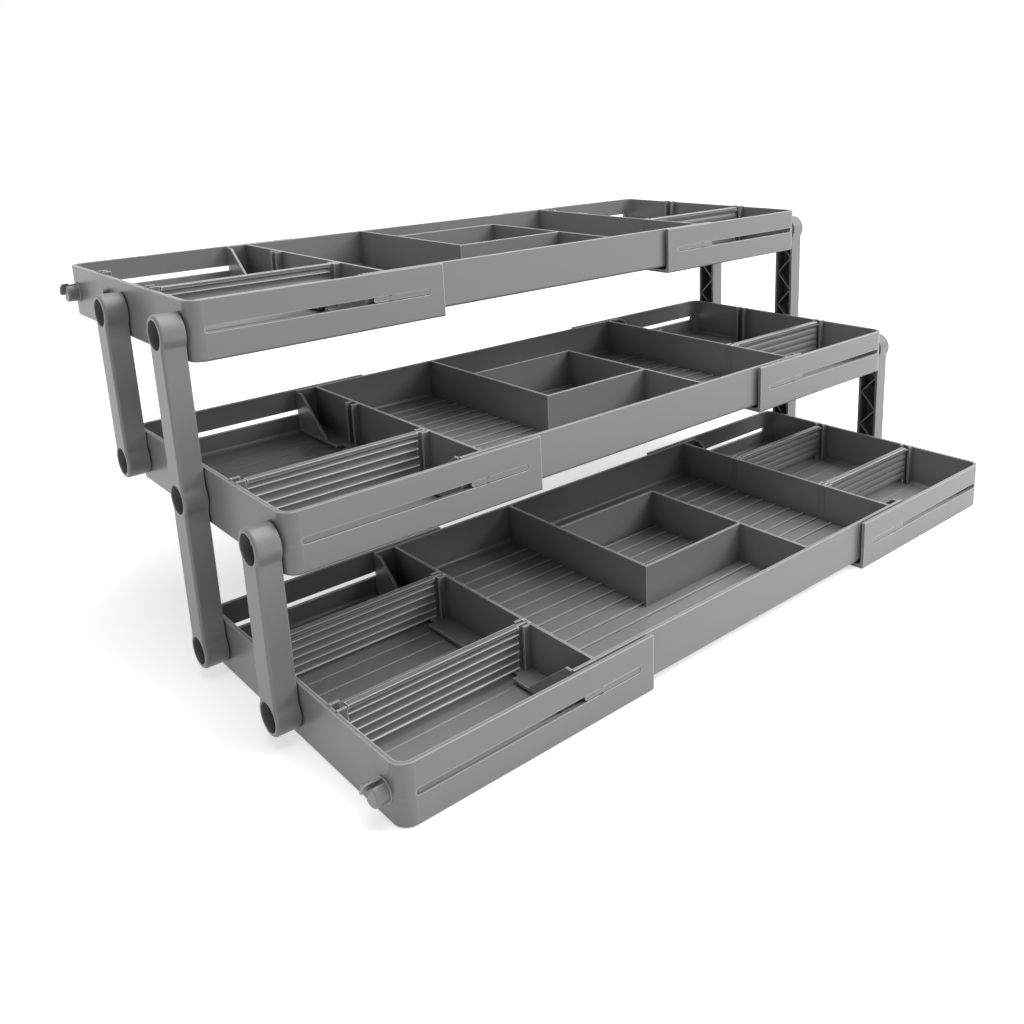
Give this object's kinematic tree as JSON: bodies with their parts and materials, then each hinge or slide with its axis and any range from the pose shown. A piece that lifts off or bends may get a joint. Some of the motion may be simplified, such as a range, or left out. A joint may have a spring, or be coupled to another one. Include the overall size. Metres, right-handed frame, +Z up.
{
  "type": "expandable tiered storage organizer",
  "caption": "Stepped storage organizer: open compartment trays on folding side arms, sliding end trays that widen it, and lift-out corrugated dividers.",
  "frame": {"origin": "centre of the bounding box seen from above, on the surface the bottom trays stand on", "axes": "+X to the user's right along the trays, +Y from the front (lowest tier) to the back (highest tier), +Z up"},
  "size_m": [0.5266, 0.365, 0.209],
  "materials": {
    "tray_plastic": "moulded grey polymer, fine satin texture",
    "arm_plastic": "moulded grey polymer, satin",
    "divider_plastic": "moulded grey polymer, satin, corrugated"
  },
  "bodies": {
    "bottom_center_tray": {"bottom_center_tray": "tray_plastic"},
    "bottom_left_end_tray": {"bottom_left_end_tray": "tray_plastic"},
    "bottom_right_end_tray": {"bottom_right_end_tray": "tray_plastic"},
    "middle_center_tray": {"middle_center_tray": "tray_plastic"},
    "middle_left_end_tray": {"middle_left_end_tray": "tray_plastic"},
    "middle_right_end_tray": {"middle_right_end_tray": "tray_plastic"},
    "top_center_tray": {"top_center_tray": "tray_plastic"},
    "top_left_end_tray": {"top_left_end_tray": "tray_plastic"},
    "top_right_end_tray": {"top_right_end_tray": "tray_plastic"},
    "left_long_arm": {"left_long_arm": "arm_plastic"},
    "left_lower_short_arm": {"left_lower_short_arm": "arm_plastic"},
    "left_upper_short_arm": {"left_upper_short_arm": "arm_plastic"},
    "right_long_arm": {"right_long_arm": "arm_plastic"},
    "right_lower_short_arm": {"right_lower_short_arm": "arm_plastic"},
    "right_upper_short_arm": {"right_upper_short_arm": "arm_plastic"},
    "bottom_left_front_divider": {"bottom_left_front_divider": "divider_plastic"},
    "bottom_left_rear_divider": {"bottom_left_rear_divider": "divider_plastic"},
    "bottom_right_front_divider": {"bottom_right_front_divider": "divider_plastic"},
    "bottom_right_rear_divider": {"bottom_right_rear_divider": "divider_plastic"},
    "middle_left_front_divider": {"middle_left_front_divider": "divider_plastic"},
    "middle_right_front_divider": {"middle_right_front_divider": "divider_plastic"},
    "top_left_front_divider": {"top_left_front_divider": "divider_plastic"},
    "top_right_front_divider": {"top_right_front_divider": "divider_plastic"}
  },
  "joints": [
    {"name": "expand_left", "type": "slide", "parent": "bottom_center_tray", "child": "bottom_left_end_tray", "axis": [-1, 0, 0], "range_m": [-0.089, 0]},
    {"name": "expand_right", "type": "slide", "parent": "bottom_center_tray", "child": "bottom_right_end_tray", "axis": [1, 0, 0], "range_m": [-0.089, 0]},
    {"name": "fold", "type": "hinge", "parent": "bottom_left_end_tray", "child": "left_long_arm", "pos_m": [-0.256, 0, 0.0156], "axis": [-1, 0, 0], "range_deg": [-67.5, 0]},
    {"name": "left_middle_pivot", "type": "hinge", "parent": "left_long_arm", "child": "middle_left_end_tray", "pos_m": [-0.256, 0, 0.1036], "axis": [-1, 0, 0], "range_deg": [0, 67.5]},
    {"name": "left_top_pivot", "type": "hinge", "parent": "left_long_arm", "child": "top_left_end_tray", "pos_m": [-0.256, 0, 0.1916], "axis": [-1, 0, 0], "range_deg": [0, 67.5]},
    {"name": "left_lower_arm_pivot", "type": "hinge", "parent": "bottom_left_end_tray", "child": "left_lower_short_arm", "pos_m": [-0.256, -0.085, 0.0156], "axis": [-1, 0, 0], "range_deg": [-67.5, 0]},
    {"name": "left_upper_arm_pivot", "type": "hinge", "parent": "middle_left_end_tray", "child": "left_upper_short_arm", "pos_m": [-0.256, 0.085, 0.1036], "axis": [-1, 0, 0], "range_deg": [-67.5, 0]},
    {"name": "middle_expand_left", "type": "slide", "parent": "middle_left_end_tray", "child": "middle_center_tray", "axis": [-1, 0, 0], "range_m": [0, 0.089]},
    {"name": "top_expand_left", "type": "slide", "parent": "top_left_end_tray", "child": "top_center_tray", "axis": [-1, 0, 0], "range_m": [0, 0.089]},
    {"name": "middle_expand_right", "type": "slide", "parent": "middle_center_tray", "child": "middle_right_end_tray", "axis": [1, 0, 0], "range_m": [-0.089, 0]},
    {"name": "top_expand_right", "type": "slide", "parent": "top_center_tray", "child": "top_right_end_tray", "axis": [1, 0, 0], "range_m": [-0.089, 0]},
    {"name": "right_long_arm_pivot", "type": "hinge", "parent": "bottom_right_end_tray", "child": "right_long_arm", "pos_m": [0.256, 0, 0.0156], "axis": [-1, 0, 0], "range_deg": [-67.5, 0]},
    {"name": "right_lower_arm_pivot", "type": "hinge", "parent": "bottom_right_end_tray", "child": "right_lower_short_arm", "pos_m": [0.256, -0.085, 0.0156], "axis": [-1, 0, 0], "range_deg": [-67.5, 0]},
    {"name": "right_upper_arm_pivot", "type": "hinge", "parent": "middle_right_end_tray", "child": "right_upper_short_arm", "pos_m": [0.256, 0.085, 0.1036], "axis": [-1, 0, 0], "range_deg": [-67.5, 0]},
    {"name": "bottom_left_front_lift", "type": "slide", "parent": "bottom_left_end_tray", "child": "bottom_left_front_divider", "axis": [0, 0, 1], "range_m": [0, 0.035]},
    {"name": "bottom_left_rear_lift", "type": "slide", "parent": "bottom_left_end_tray", "child": "bottom_left_rear_divider", "axis": [0, 0, 1], "range_m": [0, 0.035]},
    {"name": "bottom_right_front_lift", "type": "slide", "parent": "bottom_right_end_tray", "child": "bottom_right_front_divider", "axis": [0, 0, 1], "range_m": [0, 0.035]},
    {"name": "bottom_right_rear_lift", "type": "slide", "parent": "bottom_right_end_tray", "child": "bottom_right_rear_divider", "axis": [0, 0, 1], "range_m": [0, 0.035]},
    {"name": "middle_left_front_lift", "type": "slide", "parent": "middle_left_end_tray", "child": "middle_left_front_divider", "axis": [0, 0, 1], "range_m": [0, 0.035]},
    {"name": "middle_right_front_lift", "type": "slide", "parent": "middle_right_end_tray", "child": "middle_right_front_divider", "axis": [0, 0, 1], "range_m": [0, 0.035]},
    {"name": "top_left_front_lift", "type": "slide", "parent": "top_left_end_tray", "child": "top_left_front_divider", "axis": [0, 0, 1], "range_m": [0, 0.035]},
    {"name": "top_right_front_lift", "type": "slide", "parent": "top_right_end_tray", "child": "top_right_front_divider", "axis": [0, 0, 1], "range_m": [0, 0.035]}
  ],
  "couplings": [
    {"joint": "left_middle_pivot", "follows": "fold", "ratio": -1},
    {"joint": "left_top_pivot", "follows": "fold", "ratio": -1},
    {"joint": "left_lower_arm_pivot", "follows": "fold", "ratio": 1},
    {"joint": "left_upper_arm_pivot", "follows": "fold", "ratio": 1},
    {"joint": "right_long_arm_pivot", "follows": "fold", "ratio": 1},
    {"joint": "right_lower_arm_pivot", "follows": "fold", "ratio": 1},
    {"joint": "right_upper_arm_pivot", "follows": "fold", "ratio": 1},
    {"joint": "middle_expand_left", "follows": "expand_left", "ratio": -1},
    {"joint": "top_expand_left", "follows": "expand_left", "ratio": -1},
    {"joint": "middle_expand_right", "follows": "expand_right", "ratio": 1},
    {"joint": "top_expand_right", "follows": "expand_right", "ratio": 1}
  ]
}
